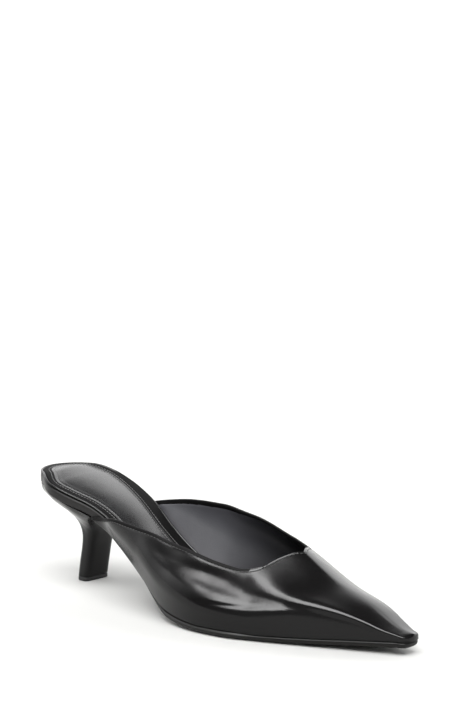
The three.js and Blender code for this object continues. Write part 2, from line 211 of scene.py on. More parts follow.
def upper_sheet(inset, side):
    """One face of the upper's wall on one side: points [station, step] from feather to topline."""
    places, _ = upper_places(inset)
    rows = []
    for x in places:
        points, lengths = half_section(x, side, inset)
        share = 1 if x >= throat else float(covered[side]((x - wing_back) / (throat - wing_back)))
        reach = lengths[-1] * share
        start = min(feather_roll, 0.4 * reach, 0.6 * (shoe_length - x)) if inset == 0 else 0
        steps = 1 - (1 - np.linspace(0, 1, upper_steps + 1)) ** edge_gather
        goals = start + (reach - start) * steps
        row = np.stack((np.full(len(goals), x),
                        side * np.interp(goals, lengths, points[:, 0]),
                        feather(x) + np.interp(goals, lengths, points[:, 1])), axis=1)
        if inset == 0:
            turns = np.linspace(0, math.pi / 2, roll_turns + 1)[:-1]
            under = []
            for turn in turns:
                inward = start * (1 - math.sin(turn))
                low = start * (1 - math.cos(turn))
                pulled = float(half_width(x, side, min(inward, snip_depth * 0.5)))
                at_foot = np.interp(low, lengths, points[:, 0]) - points[0, 0]
                under.append((x, side * max(0, pulled + at_foot), feather(x) + low))
            row = np.concatenate((np.array(under), row))
        rows.append(row)
    return np.array(rows)


outer_face = {side: upper_sheet(0, side) for side in (-1, 1)}
inner_face = {side: upper_sheet(upper_wall, side) for side in (-1, 1)}
places, behind_count = upper_places(0)


def relax(faces, rounds, first=1):
    """Evens the two sides of a sheet without moving its feather line or its topline."""
    for _ in range(rounds):
        new = {}
        for side in (-1, 1):
            grid, other = faces[side], faces[-side]
            moved = grid.copy()
            gaps = np.diff(grid[:, first, 0])
            nearer = (gaps[1:] / (gaps[:-1] + gaps[1:]))[:, None, None]
            between = nearer * grid[:-2] + (1 - nearer) * grid[2:]
            across = (grid[1:-1, first - 1:-2] + grid[1:-1, first + 1:]) / 2
            moved[1:-1, first:-1] = (grid[1:-1, first:-1] * 2 + across + between[:, first:-1]) / 4
            ahead = slice(behind_count, -1)
            crest_across = (grid[ahead, -2] + other[ahead, -2]) / 2
            crest_along = between[behind_count - 1:, -1]
            moved[ahead, -1] = (grid[ahead, -1] * 2 + crest_across + crest_along) / 4
            moved[..., 0] = grid[..., 0]
            new[side] = moved
        faces = new
    return faces


relax_rounds = 5
outer_face = relax(outer_face, relax_rounds, roll_turns + 1)
inner_face = relax(inner_face, relax_rounds)

# Creases and ridges of the leather, each a side and its stations along the shoe: place, height
# over the feather line, depth, and breadth below and above it, in millimetres. A negative depth
# is a ridge. They fade out before the crest, where the two sides meet.
crest_clear = 2.5
creases = (
    (-1, (
        (92, 23, 0, 4, 2), (108, 24.2, 0.6, 5, 2.4), (124, 24.2, 1.1, 5.5, 3),
        (140, 23.4, 1.3, 5.5, 3), (152, 21.6, 1.4, 5, 3), (162, 19.2, 1.3, 4.2, 2.8),
        (170, 17.2, 1.1, 3.6, 2.2), (180, 16.2, 0.75, 2.8, 1.6), (190, 15, 0.5, 2.4, 1.3),
        (202, 12.8, 0.35, 2, 1.1), (216, 9.4, 0.25, 1.7, 1), (233, 4, 0, 1.5, 1))),
    (-1, (
        (94, 19.5, 0, 9, 4), (108, 19.5, -0.7, 9, 4), (124, 19, -1.1, 9, 4),
        (138, 17, -1.1, 9, 4), (150, 14.5, -0.8, 8, 4), (162, 12.5, -0.4, 7, 4),
        (178, 11.5, 0, 7, 4))),
    (-1, (
        (118, 31, 0, 3, 3), (134, 29.4, -0.7, 3, 3), (150, 27.6, -0.9, 3, 5),
        (160, 26.4, -0.9, 3, 7), (168, 23.4, -0.9, 2.6, 7), (177, 20.2, -0.75, 2, 5),
        (186, 18, -0.55, 1.6, 3.4), (196, 15.8, -0.4, 1.4, 2.4), (208, 13.2, -0.35, 1.2, 2),
        (222, 9.2, -0.3, 1, 1.8), (237, 3.6, 0, 1, 1.5))),
    (-1, (
        (140, 12, 0, 0.7, 0.7), (152, 12.1, 0.22, 0.8, 0.8), (164, 12.4, 0.3, 0.8, 0.8),
        (180, 13.8, 0.24, 0.7, 0.7), (198, 14, 0, 0.7, 0.7))),
    (1, (
        (120, 26, 0, 6, 3), (140, 24.5, 0.7, 6, 3), (165, 18.5, 0.8, 5, 2.6),
        (185, 14.5, 0.5, 3, 1.8), (210, 9.5, 0.25, 2, 1.2), (232, 4, 0, 1.5, 1))),
)


def face_normals(grid, side):
    along = np.gradient(grid, axis=0)
    across = np.gradient(grid, axis=1)
    normal = np.cross(along, across) * -side
    return normal / np.maximum(np.linalg.norm(normal, axis=2, keepdims=True), 1e-9)


for side in (-1, 1):
    grid = outer_face[side]
    sunk = np.zeros(grid.shape[:2])
    height = grid[..., 2] - feather(grid[..., 0])
    for crease_side, rows in creases:
        if crease_side == side:
            at, *columns = np.array(rows, float).T
            line, depth, below, above = (steady_curve(at, column)(grid[..., 0]) for column in columns)
            breadth = np.where(height < line, below, above)
            sunk += depth * np.exp(-((height - line) / breadth) ** 2)
    sunk *= smooth_step(np.abs(grid[..., 1]) / crest_clear)
    outer_face[side] = grid - face_normals(grid, side) * sunk[..., None]

# The stitching presses a groove along the folded edge, which leaves a thin bead above it.
stitch_line = 1.25
groove_depth = 0.12
groove_breadth = 0.4
groove_fade = 1.5
for side in (-1, 1):
    for faces, turn in ((outer_face, 1), (inner_face, -1)):
        grid = faces[side]
        from_edge = np.linalg.norm(grid - grid[:, -1:], axis=2)
        groove = turn * groove_depth * np.exp(-((from_edge - stitch_line) / groove_breadth) ** 2)
        groove *= smooth_step((throat - grid[..., 0]) / groove_fade)
        faces[side] = grid - face_normals(grid, side) * groove[..., None]


def topline_path(faces, step=-1):
    """The topline round the opening, from the outer wing over the throat to the inner wing, or
    the same line a few steps further into the leather."""
    return np.concatenate((faces[-1][:behind_count, step], faces[1][:behind_count - 1, step][::-1]))


edge_out = topline_path(outer_face)
edge_in = topline_path(inner_face)
edge_along = np.gradient(edge_out, axis=0)
edge_along /= np.linalg.norm(edge_along, axis=1, keepdims=True)
edge_through = edge_out - edge_in
edge_up = np.cross(edge_through, edge_along)
edge_up /= np.linalg.norm(edge_up, axis=1, keepdims=True)
from_leather = edge_out - topline_path(outer_face, -4)
pointing = np.sign(np.sum(edge_up * from_leather, axis=1, keepdims=True))
edge_up *= np.where(pointing == 0, 1, pointing)
fold_turns = 6
fold_rows = []
for turn in np.linspace(0, math.pi, fold_turns + 1):
    middle = (edge_out + edge_in) / 2
    bulge = np.linalg.norm(edge_through, axis=1, keepdims=True) / 2
    fold_rows.append(middle + edge_through / 2 * math.cos(turn) + edge_up * bulge * math.sin(turn))
fold = np.array(fold_rows)

back_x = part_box("insole")[0][0]
axis_y = (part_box("heel_tip")[0][1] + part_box("heel_tip")[1][1]) / 2


def in_frame(points):
    """Millimetres along the shoe to metres in the frame."""
    return np.asarray(points, float) * mm + np.array((back_x, axis_y, 0))


merge_distance = 1e-6


class Patchwork:
    """Points and faces of one piece, gathered patch by patch and closed up by merging."""

    def __init__(self):
        self.points, self.faces, self.slots = [], [], []

    def patch(self, grid, slot=0, flip=False):
        rows, columns = grid.shape[:2]
        base = len(self.points)
        self.points.extend(in_frame(grid.reshape(-1, 3)).tolist())
        for i in range(rows - 1):
            for j in range(columns - 1):
                corner = base + i * columns + j
                face = (corner, corner + 1, corner + columns + 1, corner + columns)
                self.faces.append(face[::-1] if flip else face)
                self.slots.append(slot[i][j] if isinstance(slot, list) else slot)

    def finish(self, name, *materials):
        mesh = bpy.data.meshes.new(name)
        mesh.from_pydata(self.points, [], self.faces)
        for index, polygon in enumerate(mesh.polygons):
            polygon.material_index = self.slots[index]
        work = bmesh.new()
        work.from_mesh(mesh)
        bmesh.ops.remove_doubles(work, verts=work.verts, dist=merge_distance)
        bmesh.ops.dissolve_degenerate(work, dist=merge_distance / 10, edges=work.edges)
        bmesh.ops.recalc_face_normals(work, faces=work.faces)
        if work.calc_volume(signed=True) < 0:
            bmesh.ops.reverse_faces(work, faces=work.faces)
        for face in work.faces:
            face.smooth = True
        work.to_mesh(mesh)
        work.free()
        piece = bpy.data.objects.new(name, mesh)
        bpy.context.scene.collection.objects.link(piece)
        for material in materials:
            mesh.materials.append(material)
        return piece


class Wire:
    """A socket of a node tree. Sums, differences and products of wires add Math nodes."""

    def __init__(self, tree, socket):
        self.tree, self.socket = tree, socket

    def node(self, kind, settings=None, inputs=None, out=0):
        """Adds any node: its settings first, then the values or links of its sockets."""
        made = self.tree.nodes.new(kind)
        for name, value in (settings or {}).items():
            setattr(made, name, value)
        for name, value in (inputs or {}).items():
            if isinstance(value, Wire):
                self.tree.links.new(value.socket, made.inputs[name])
            else:
                made.inputs[name].default_value = value
        return Wire(self.tree, made.outputs[out])

    def math(self, operation, one, two):
        return self.node("ShaderNodeMath", {"operation": operation}, {0: one, 1: two})

    def __add__(self, other):
        return self.math("ADD", self, other)

    def __radd__(self, other):
        return self.math("ADD", other, self)

    def __sub__(self, other):
        return self.math("SUBTRACT", self, other)

    def __mul__(self, other):
        return self.math("MULTIPLY", self, other)


def new_finish(name):
    """An empty material, its shader and the wire of the piece's own coordinates."""
    material = bpy.data.materials.new(name)
    material.use_nodes = True
    tree = material.node_tree
    shader = tree.nodes["Principled BSDF"]
    coordinates = tree.nodes.new("ShaderNodeTexCoord")
    return material, shader, Wire(tree, coordinates.outputs["Object"])


def mixed_colour(wire, share, one, two):
    """A colour between two others by a share."""
    made = wire.tree.nodes.new("ShaderNodeMix")
    made.data_type = "RGBA"
    wire.tree.links.new(share.socket, made.inputs["Factor"])
    for name, colour in (("A", one), ("B", two)):
        socket = next(s for s in made.inputs if s.name == name and s.type == "RGBA")
        socket.default_value = (*colour, 1)
    return Wire(wire.tree, next(s for s in made.outputs if s.type == "RGBA"))


def leather(name, colour, worn_or_lit, roughness, grain, sheen_index, painted_shade_span=None):
    """Smooth dyed leather: fine pores and grain, soft patches of polish and a thin finish. Where two places
    along the shoe are given, the second, lighter colour is painted light that fades out between them into
    painted shade, not wear."""
    material, shader, place = new_finish(name)
    patches = place.node("ShaderNodeTexNoise", inputs={"Vector": place, "Scale": 55.0, "Detail": 3.0})
    fine = place.node("ShaderNodeTexNoise", inputs={"Vector": place, "Scale": 2600.0, "Detail": 2.0})
    cells = place.node("ShaderNodeTexVoronoi", {"feature": "SMOOTH_F1"},
                       {"Vector": place, "Scale": 1500.0, "Smoothness": 0.5})
    wrinkles = place.node("ShaderNodeTexNoise", inputs={
        "Vector": place, "Scale": 420.0, "Detail": 4.0, "Distortion": 0.8})
    soft = place.node("ShaderNodeTexNoise", inputs={"Vector": place, "Scale": 70.0, "Detail": 1.0})
    height = cells * 0.6 + fine * 0.5 + wrinkles * 0.9 + soft * 6.0
    bump = place.node("ShaderNodeBump", inputs={
        "Strength": grain, "Distance": 0.00008, "Height": height})
    share = patches * 0.7 + fine * 0.3
    # Painted shade: along the shoe the lighter colour fades out between the two given places, so the
    # leather is painted darker as if shaded.
    if painted_shade_span:
        along = place.node("ShaderNodeSeparateXYZ", inputs={"Vector": place})
        share = along.node("ShaderNodeMapRange", {"interpolation_type": "SMOOTHSTEP"}, {
            "Value": along, "From Min": painted_shade_span[0] * mm + back_x, "From Max": painted_shade_span[1] * mm + back_x,
            "To Min": 1.0, "To Max": 0.0}) * (0.7 + share * 0.6)
    tone = mixed_colour(place, share, colour, worn_or_lit)
    rough = roughness + (patches - 0.5) * 0.1 + (cells - 0.4) * 0.05
    place.tree.links.new(tone.socket, shader.inputs["Base Color"])
    place.tree.links.new(rough.socket, shader.inputs["Roughness"])
    place.tree.links.new(bump.socket, shader.inputs["Normal"])
    shader.inputs["IOR"].default_value = sheen_index
    return material


black_calf = leather("black_calf", (0.0035, 0.0033, 0.0035), (0.006, 0.0056, 0.0058), 0.2, 0.3, 1.33)
# The lining's bluish grey is painted light at the back. Between 95 and 150 mm it fades into painted shade
# towards the throat, where the vamp shades it.
lining_leather = leather("lining_leather", (0.006, 0.006, 0.0065), (0.075, 0.075, 0.086),
                         0.38, 0.4, 1.45, (95, 150))
edge_calf = leather("edge_calf", (0.004, 0.0038, 0.004), (0.008, 0.0076, 0.0078), 0.5, 0.5, 1.15)
polished_from = 161

work = Patchwork()
for side in (-1, 1):
    outer, inner = outer_face[side], inner_face[side]
    to_edge = np.linalg.norm(outer - outer[:, -1:], axis=2)
    edged = [[2 if to_edge[i, j] < stitch_line and outer[i, j, 0] < polished_from else 0
              for j in range(outer.shape[1])] for i in range(outer.shape[0])]
    work.patch(outer, edged, side > 0)
    from_edge = np.linalg.norm(inner - inner[:, -1:], axis=2)
    lined = [[1 if from_edge[i, j] > fold_depth or i >= behind_count else 2
              for j in range(inner.shape[1])] for i in range(inner.shape[0])]
    work.patch(inner, lined, side < 0)
    work.patch(np.stack((outer[:, 0], inner[:, 0]), axis=1), 0, side < 0)
    work.patch(np.stack((outer[0, roll_turns:], inner[0])), 0, side < 0)
    foot = outer[0, :roll_turns + 1]
    work.patch(np.stack((foot, np.repeat(inner[0, :1], len(foot), axis=0))), 0, side < 0)
work.patch(fold, [[2 if x < polished_from else 0 for x in edge_out[:, 0]] for _ in fold])
for wing in (0, -1):
    arc = fold[:, wing]
    work.patch(np.stack((arc, np.repeat(arc[:1], len(arc), axis=0))), 2)
upper = work.finish("upper", black_calf, lining_leather, edge_calf)
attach(upper, "root")
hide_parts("upper")

# Topline stitching: one row of waxed black thread through the folded edge and the lining, which
# keeps the fold flat all the way round the opening.
thread_width = 0.4
thread_pitch = 2.1
thread_length = 1.6
thread_lift = 0.03
bare_points = 6


def thread(name, colour):
    """Twisted waxed thread with a soft sheen."""
    material, shader, place = new_finish(name)
    twist = place.node("ShaderNodeTexWave", {"wave_type": "BANDS", "bands_direction": "DIAGONAL"},
                       {"Vector": place, "Scale": 900.0, "Distortion": 2.0})
    fuzz = place.node("ShaderNodeTexNoise", inputs={"Vector": place, "Scale": 3000.0})
    bump = place.node("ShaderNodeBump", inputs={
        "Strength": 0.6, "Distance": 0.00006, "Height": twist * 0.8 + fuzz * 0.4})
    tone = mixed_colour(place, twist * 0.6 + fuzz * 0.4, colour, tuple(3 * part for part in colour))
    place.tree.links.new(tone.socket, shader.inputs["Base Color"])
    place.tree.links.new((0.4 + fuzz * 0.2).socket, shader.inputs["Roughness"])
    place.tree.links.new(bump.socket, shader.inputs["Normal"])
    return material


def stitching_tree():
    """Stitches along the edges of a path, as a node tree with its sizes as named inputs."""
    tree = bpy.data.node_groups.new("stitching", "GeometryNodeTree")
    sockets = {}
    tree.interface.new_socket("Geometry", in_out="INPUT", socket_type="NodeSocketGeometry")
    for name, kind in (("Pitch", "Float"), ("Length", "Float"), ("Width", "Float"), ("Thread", "Material")):
        made = tree.interface.new_socket(name, in_out="INPUT", socket_type="NodeSocket" + kind)
        sockets[name] = made.identifier
    tree.interface.new_socket("Geometry", in_out="OUTPUT", socket_type="NodeSocketGeometry")
    given = tree.nodes.new("NodeGroupInput")
    result = tree.nodes.new("NodeGroupOutput")

    def add(kind, settings=None, **links):
        made = tree.nodes.new(kind)
        for name, value in (settings or {}).items():
            setattr(made, name, value)
        for name, value in links.items():
            socket = made.inputs[name.replace("_", " ")]
            if isinstance(value, bpy.types.NodeSocket):
                tree.links.new(value, socket)
            else:
                socket.default_value = value
        return made

    curve = add("GeometryNodeMeshToCurve", Mesh=given.outputs["Geometry"])
    points = add("GeometryNodeCurveToPoints", {"mode": "LENGTH"},
                 Curve=curve.outputs[0], Length=given.outputs["Pitch"])
    bead = add("GeometryNodeMeshUVSphere", Segments=8, Rings=6, Radius=0.5)
    size = add("ShaderNodeCombineXYZ", X=given.outputs["Width"], Y=given.outputs["Width"],
               Z=given.outputs["Length"])
    wobble = add("FunctionNodeRandomValue", {"data_type": "FLOAT"}, Seed=7)
    wobble.inputs[2].default_value, wobble.inputs[3].default_value = 0.93, 1.05
    scaled = add("ShaderNodeVectorMath", {"operation": "SCALE"}, Vector=size.outputs[0],
                 Scale=wobble.outputs[1])
    placed = add("GeometryNodeInstanceOnPoints", Points=points.outputs["Points"],
                 Instance=bead.outputs["Mesh"], Rotation=points.outputs["Rotation"],
                 Scale=scaled.outputs[0])
    solid = add("GeometryNodeRealizeInstances", Geometry=placed.outputs[0])
    dressed = add("GeometryNodeSetMaterial", Geometry=solid.outputs[0],
                  Material=given.outputs["Thread"])
    shaded = add("GeometryNodeSetShadeSmooth", Geometry=dressed.outputs[0])
    tree.links.new(shaded.outputs[0], result.inputs[0])
    return tree, sockets


stitching, stitching_inputs = stitching_tree()


def sew(name, path, material, pitch, length, width):
    """One row of stitches along a path in millimetres, as a plain mesh."""
    mesh = bpy.data.meshes.new(name + "_path")
    mesh.from_pydata(in_frame(path).tolist(), [(i, i + 1) for i in range(len(path) - 1)], [])
    guide = bpy.data.objects.new(name + "_path", mesh)
    bpy.context.scene.collection.objects.link(guide)
    maker = guide.modifiers.new("stitching", "NODES")
    maker.node_group = stitching
    for key, value in (("Pitch", pitch * mm), ("Length", length * mm), ("Width", width * mm),
                       ("Thread", material)):
        maker[stitching_inputs[key]] = value
    bpy.context.view_layer.update()
    evaluated = guide.evaluated_get(bpy.context.evaluated_depsgraph_get())
    sewn = bpy.data.meshes.new_from_object(evaluated)
    bpy.data.objects.remove(guide)
    row = bpy.data.objects.new(name, sewn)
    bpy.context.scene.collection.objects.link(row)
    return row


def onto_surface(piece, path, lift):
    """A path in millimetres moved to the nearest points of a piece and a little above them."""
    tree = BVHTree.FromObject(piece, bpy.context.evaluated_depsgraph_get())
    moved = []
    for point in in_frame(path):
        spot, normal, _, _ = tree.find_nearest(Vector(point))
        moved.append((np.array(spot + normal * lift * mm) - in_frame((0, 0, 0))) / mm)
    return np.array(moved)


bpy.context.view_layer.update()
black_thread = thread("black_thread", (0.012, 0.012, 0.012))
sewn_line = (edge_out - edge_up * stitch_line)[bare_points:-bare_points]
topline_stitches = sew("topline_stitches", onto_surface(upper, sewn_line, thread_lift), black_thread,
                       thread_pitch, thread_length, thread_width)
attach(topline_stitches, "root")

# Insole: a firm board under the foot, thick under the heel, with black leather wrapped round its
# edge. The wrapped edge is the band that shows round the seat.
board_at_seat = 4.6
board_at_ball = 1.6
insole_step = 16
stepped_in = wing_back - clearance
insole_end = shoe_length - 6
band_round = 0.9
outline_step = 1.3
round_points = 49
round_reach = 60
room_share = 0.42
crown_breadth = 42


def board_thickness(x):
    thinned = smooth_step((x - wing_back) / (0.3 * shoe_length))
    return board_at_seat + (board_at_ball - board_at_seat) * thinned


def insole_half(x, side):
    inset = (upper_wall + clearance) * smooth_step((x - stepped_in + insole_step) / insole_step)
    return half_width(x, side, inset)


def outline(half, start, end, round_back):
    """The plan outline of a flat piece, from its open end round the back or the toe to it again."""
    turns = np.linspace(0, 1, round_points) * math.pi / 2
    one, two = (start + seat_round, end) if round_back else (start, end - snip_depth)
    xs = np.linspace(one, two, int((two - one) / outline_step))
    if round_back:
        xs = np.concatenate((start + seat_round * (1 - np.cos(turns[:-1])), xs))
    else:
        xs = np.concatenate((xs, two + snip_depth * np.sin(turns[4::4])))
    outer = np.stack((xs, -half(xs, -1)), axis=1)
    inner = np.stack((xs, half(xs, 1)), axis=1)
    if round_back:
        return np.concatenate((outer[::-1], inner[1:]))
    return np.concatenate((outer, inner[:-1][::-1]))


def draw_in(loop, inset, more=0, evened=0):
    """The outline drawn in by an inset and a little more, but away from its round end never past
    its share of the breadth. Its directions are averaged over evened points each way, so that a
    tight bend doesn't cross."""
    along = np.gradient(loop, axis=0)
    along /= np.maximum(np.linalg.norm(along, axis=1, keepdims=True), 1e-9)
    inward = np.stack((-along[:, 1], along[:, 0]), axis=1)
    middle = np.array((loop[:, 0].mean(), 0))
    if np.sum(inward * (middle - loop)) < 0:
        inward = -inward
    if evened:
        ends = np.pad(inward, ((evened, evened), (0, 0)), mode="edge")
        mean = np.ones(2 * evened + 1) / (2 * evened + 1)
        inward = np.stack([np.convolve(ends[:, k], mean, "valid") for k in (0, 1)], axis=1)
        inward /= np.linalg.norm(inward, axis=1, keepdims=True)
    room = np.abs(loop[:, 1] - loop[::-1, 1]) * room_share
    from_end = np.minimum(np.arange(len(loop)), np.arange(len(loop))[::-1])
    room[len(loop) // 2 - from_end < round_reach] = np.inf
    return loop + inward * np.minimum(inset + more, room)[:, None]


def lay_plate(work, loop, profile, base, across=2, cap_slot=0, crown=0, more=None, evened=0):
    """A plate that follows base: rings from its under face round its edge to its top face."""
    rings = []
    for inset, rise, _ in profile:
        plan = draw_in(loop, inset, more(inset) if more else 0, evened)
        height = base(plan[:, 0]) + (rise(plan[:, 0]) if callable(rise) else rise)
        rings.append(np.column_stack((plan, height)))
    rings = np.array(rings)
    slots = [[entry[2]] * rings.shape[1] for entry in profile]
    work.patch(rings, slots)
    shares = (1 - np.cos(np.linspace(0, math.pi, across + 1))) / 2
    half_count = rings.shape[1] // 2 + 1
    for ring, slot, swell in ((rings[0], 0, 0), (rings[-1], cap_slot, crown)):
        one, two = ring[:half_count], ring[::-1][:half_count]
        cap = np.stack([one + (two - one) * share for share in shares], axis=1)
        wide = smooth_step(np.abs(one[:, 1] - two[:, 1]) / crown_breadth)
        cap[..., 2] += swell * wide[:, None] * 4 * shares * (1 - shares)
        work.patch(cap, slot)
    end = np.stack([rings[:, 0] + (rings[:, -1] - rings[:, 0]) * share for share in shares], axis=1)
    end[-1] = cap[0]
    work.patch(end, 0)


insole_loop = outline(insole_half, 0, insole_end, True)
quarter = np.linspace(0, math.pi / 2, 6)
profile = [(band_round * (1 - math.sin(t)), band_round * (1 - math.cos(t)), 0) for t in quarter]
profile += [(band_round * (1 - math.cos(t)),
             lambda x, t=t: board_thickness(x) - band_round * (1 - math.sin(t)), 0) for t in quarter]
wrapped_leather = leather("wrapped_leather", (0.02, 0.0195, 0.0195), (0.03, 0.029, 0.0285),
                          0.4, 0.5, 1.3)
work = Patchwork()
lay_plate(work, insole_loop, profile, feather)
insole = work.finish("insole", wrapped_leather)
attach(insole, "root")
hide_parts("insole")

# Sock lining: a soft sock cemented to the insole, with a smooth near-black panel, a matt black
# border with two rows of grey stitching, and a rolled edge in the upper's leather.
sock_thickness = 1.3
sock_end = shoe_length - 14
rolled_edge = 1.1
rows_at = (4.3, 7.0)
rows_end = throat - 10
panel_from = sum(rows_at) / 2
sock_swell = 0.3
sock_crown = 1.9
sock_evened = 14
border_extra = 3.2
edge_round = 0.62
valley_at, valley_depth, valley_breadth = 1.35, 0.5, 0.28
row_depth, row_breadth = 0.16, 0.3
sock_pitch, sock_stitch, sock_thread, sock_lift = 1.7, 1.4, 0.4, 0.05


def sock_rise(inset):
    """Height of the sock over its under face at a distance from its edge."""
    rounded = edge_round - math.sqrt(max(0, edge_round ** 2 - max(0, edge_round - inset) ** 2))
    valley = valley_depth * math.exp(-((inset - valley_at) / valley_breadth) ** 2)
    rows = sum(row_depth * math.exp(-((inset - at) / row_breadth) ** 2) for at in rows_at)
    filled = sock_swell * float(smooth_step((inset - rows_at[1]) / 2.5))
    return sock_thickness - rounded - valley - rows + filled


sock_loop = outline(insole_half, 0, sock_end, True)
profile = [(0.55, 0, 0), (0.2, 0.1, 0), (0, 0.45, 0)]
for one, two, count in ((0, 2.4, 25), (2.6, 3.8, 5), (3.9, 4.7, 7), (5, 6.4, 5), (6.6, 7.4, 7),
                        (7.8, 9.4, 5)):
    for inset in np.linspace(one, two, count):
        slot = 2 if inset < rolled_edge else 0 if inset < panel_from else 1
        profile.append((inset, sock_rise(inset), slot))


def sock_base(x):
    return feather(x) + board_thickness(x) + clearance


def border_more(inset):
    """How much wider the border is on the inner side of the foot than on the outer side."""
    inner_side = smooth_step((sock_loop[:, 1] + 4) / 18)
    past_seat = smooth_step((sock_loop[:, 0] - 6) / 60)
    return border_extra * smooth_step((inset - 1.7) / 2.2) * inner_side * past_seat


border_leather = leather("border_leather", (0.004, 0.0039, 0.004), (0.007, 0.0068, 0.007),
                         0.6, 0.5, 1.12)
panel_leather = leather("panel_leather", (0.008, 0.008, 0.0085), (0.014, 0.014, 0.015),
                        0.27, 0.35, 1.42)
work = Patchwork()
lay_plate(work, sock_loop, profile, sock_base, 24, 1, sock_crown, border_more, sock_evened)
sock_lining = work.finish("sock_lining", border_leather, panel_leather, black_calf)
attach(sock_lining, "root")
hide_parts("sock_lining")

grey_thread = thread("grey_thread", (0.09, 0.09, 0.09))
for number, at in enumerate(rows_at):
    plan = draw_in(sock_loop, at, border_more(at), sock_evened)
    plan = plan[plan[:, 0] < rows_end]
    sewn_line = np.column_stack((plan, sock_base(plan[:, 0]) + sock_rise(at) + sock_lift))
    row = sew(f"sock_stitches_{number + 1}", sewn_line, grey_thread,
              sock_pitch, sock_stitch, sock_thread)
    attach(row, "root")

# Outsole: thin sole leather, cemented on and inked black, full under the ball and narrow and thin
# under the waist. Its edge stands out a little along the ball and is trimmed in elsewhere.
waist_sole_thickness = 2
waist_end, waist_fade = 0.29, 0.17
sole_set_back = 0.3
waist_set_back = 3
sole_bevel = 3.2
welt_reach = 1.2
welt_from, welt_to, welt_fade = 106, 176, 16
bevel_share = 0.8
into_joint = 0.15
heel_breast = 51


def sole_reach(x):
    return smooth_step((x / shoe_length - waist_end) / waist_fade)


def sole_half(x, side):
    welt = smooth_step((x - welt_from) / welt_fade) * smooth_step((welt_to - x) / welt_fade)
    set_back = waist_set_back + (sole_set_back - waist_set_back) * sole_reach(x)
    return half_width(x, side, set_back) + welt_reach * welt


def sole_thickness_at(x):
    full = waist_sole_thickness + (sole_thickness - waist_sole_thickness) * sole_reach(x)
    return np.minimum(full, feather(x) - clearance)


def sole_base(x):
    return feather(x) - clearance - sole_thickness_at(x)


sole_loop = outline(sole_half, heel_breast + clearance, shoe_length - sole_set_back, False)
profile = [(sole_bevel * (1 - math.sin(t)),
            lambda x, t=t: bevel_share * sole_thickness_at(x) * (1 - math.cos(t)), 0)
           for t in np.linspace(0, math.pi / 2, 9)]
profile += [(inset, lambda x, drop=drop: sole_thickness_at(x) + into_joint - drop, 0)
            for inset, drop in ((0, 0.8), (0.06, 0.7), (0.5, 0.1), (0.58, 0.02), (0.7, 0))]
work = Patchwork()
lay_plate(work, sole_loop, profile, sole_base, 12)


def sole_leather(name):
    """Inked sole leather with fine scratches along the shoe and a satin finish."""
    material, shader, place = new_finish(name)
    stretched = place.node("ShaderNodeMapping", inputs={"Vector": place, "Scale": (60.0, 1600.0, 1600.0)})
    scratches = place.node("ShaderNodeTexNoise", inputs={"Vector": stretched, "Scale": 1.0, "Detail": 3.0})
    fibres = place.node("ShaderNodeTexNoise", inputs={"Vector": place, "Scale": 900.0, "Detail": 4.0})
    patches = place.node("ShaderNodeTexNoise", inputs={"Vector": place, "Scale": 40.0})
    bump = place.node("ShaderNodeBump", inputs={
        "Strength": 0.4, "Distance": 0.00006, "Height": scratches * 0.5 + fibres * 0.7})
    tone = mixed_colour(place, patches * 0.5 + scratches * 0.5,
                        (0.006, 0.006, 0.0055), (0.013, 0.0125, 0.0115))
    place.tree.links.new(tone.socket, shader.inputs["Base Color"])
    place.tree.links.new((0.38 + patches * 0.12).socket, shader.inputs["Roughness"])
    place.tree.links.new(bump.socket, shader.inputs["Normal"])
    shader.inputs["IOR"].default_value = 1.3
    return material


outsole = work.finish("outsole", sole_leather("sole_leather"))
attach(outsole, "root")
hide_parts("outsole")

# Heel: a slim moulded heel block covered in the upper's leather. It slants forwards under the foot
# and flares out under the seat, where it is glued and nailed to the insole.
tip_thickness = 2
heel_tip_width = 17
heel_set_back = 0.3
heel_columns = ("level", "back", "breast", "width")
heel_rows = (
    (0, 0.488, 0.661, 1), (0.2, 0.522, 0.688, 1), (0.4, 0.558, 0.716, 1.01),
    (0.5, 0.555, 0.732, 1.04), (0.6, 0.507, 0.755, 1.11), (0.7, 0.396, 0.784, 1.28),
    (0.8, 0.226, 0.828, 1.66), (0.9, 0.075, 0.892, 2.26), (1, 0.006, 1, 2.9),
)
heel_table = dict(zip(heel_columns, zip(*heel_rows)))
heel_at = {name: (smooth_curve if name == "back" else steady_curve)(heel_table["level"], heel_table[name])
           for name in heel_columns[1:]}
ring_points = 144
round_power, square_power = 2.2, 5
seat_softness = 14
edge_turn = 0.5
over_tip = 0.05


def heel_ring(back, breast, width, inset=0.0):
    """Outline of the heel at one level, with a round back and a squarer breast."""
    angle = np.arange(ring_points + 1) / ring_points * 2 * math.pi
    middle = (back + breast) / 2
    power = 2 / np.where(np.cos(angle) > 0, square_power, round_power)
    ahead = np.sign(np.cos(angle)) * np.abs(np.cos(angle)) ** power
    aside = np.sign(np.sin(angle)) * np.abs(np.sin(angle)) ** power
    aside[[0, ring_points // 2, ring_points]] = 0
    x = middle + ahead * (np.where(ahead > 0, breast - middle, middle - back) - inset)
    column = np.abs(aside) * (width / 2 - inset)
    edge = np.where(aside < 0, half_width(x, -1), half_width(x, 1)) - heel_set_back - inset
    parts = (np.maximum(column, 1e-6), np.maximum(edge, 0.01))
    held = sum(part ** -seat_softness for part in parts) ** (-1 / seat_softness)
    return x, np.sign(aside) * held


def heel_level(level, inset=0.0):
    """Outline of the heel at a share of its height, in shares of the seat's length and the tip."""
    return heel_ring(heel_at["back"](level) * heel_breast, heel_at["breast"](level) * heel_breast,
                     heel_at["width"](level) * heel_tip_width, inset)


def column_of(rings):
    """A column of rings with a flat end on the first and the last of them."""
    rings = np.array(rings)
    work = Patchwork()
    work.patch(rings)
    half_ring = ring_points // 2
    for ring in (rings[0], rings[-1]):
        work.patch(np.stack((ring[:half_ring + 1], ring[half_ring:][::-1]), axis=1))
    return work


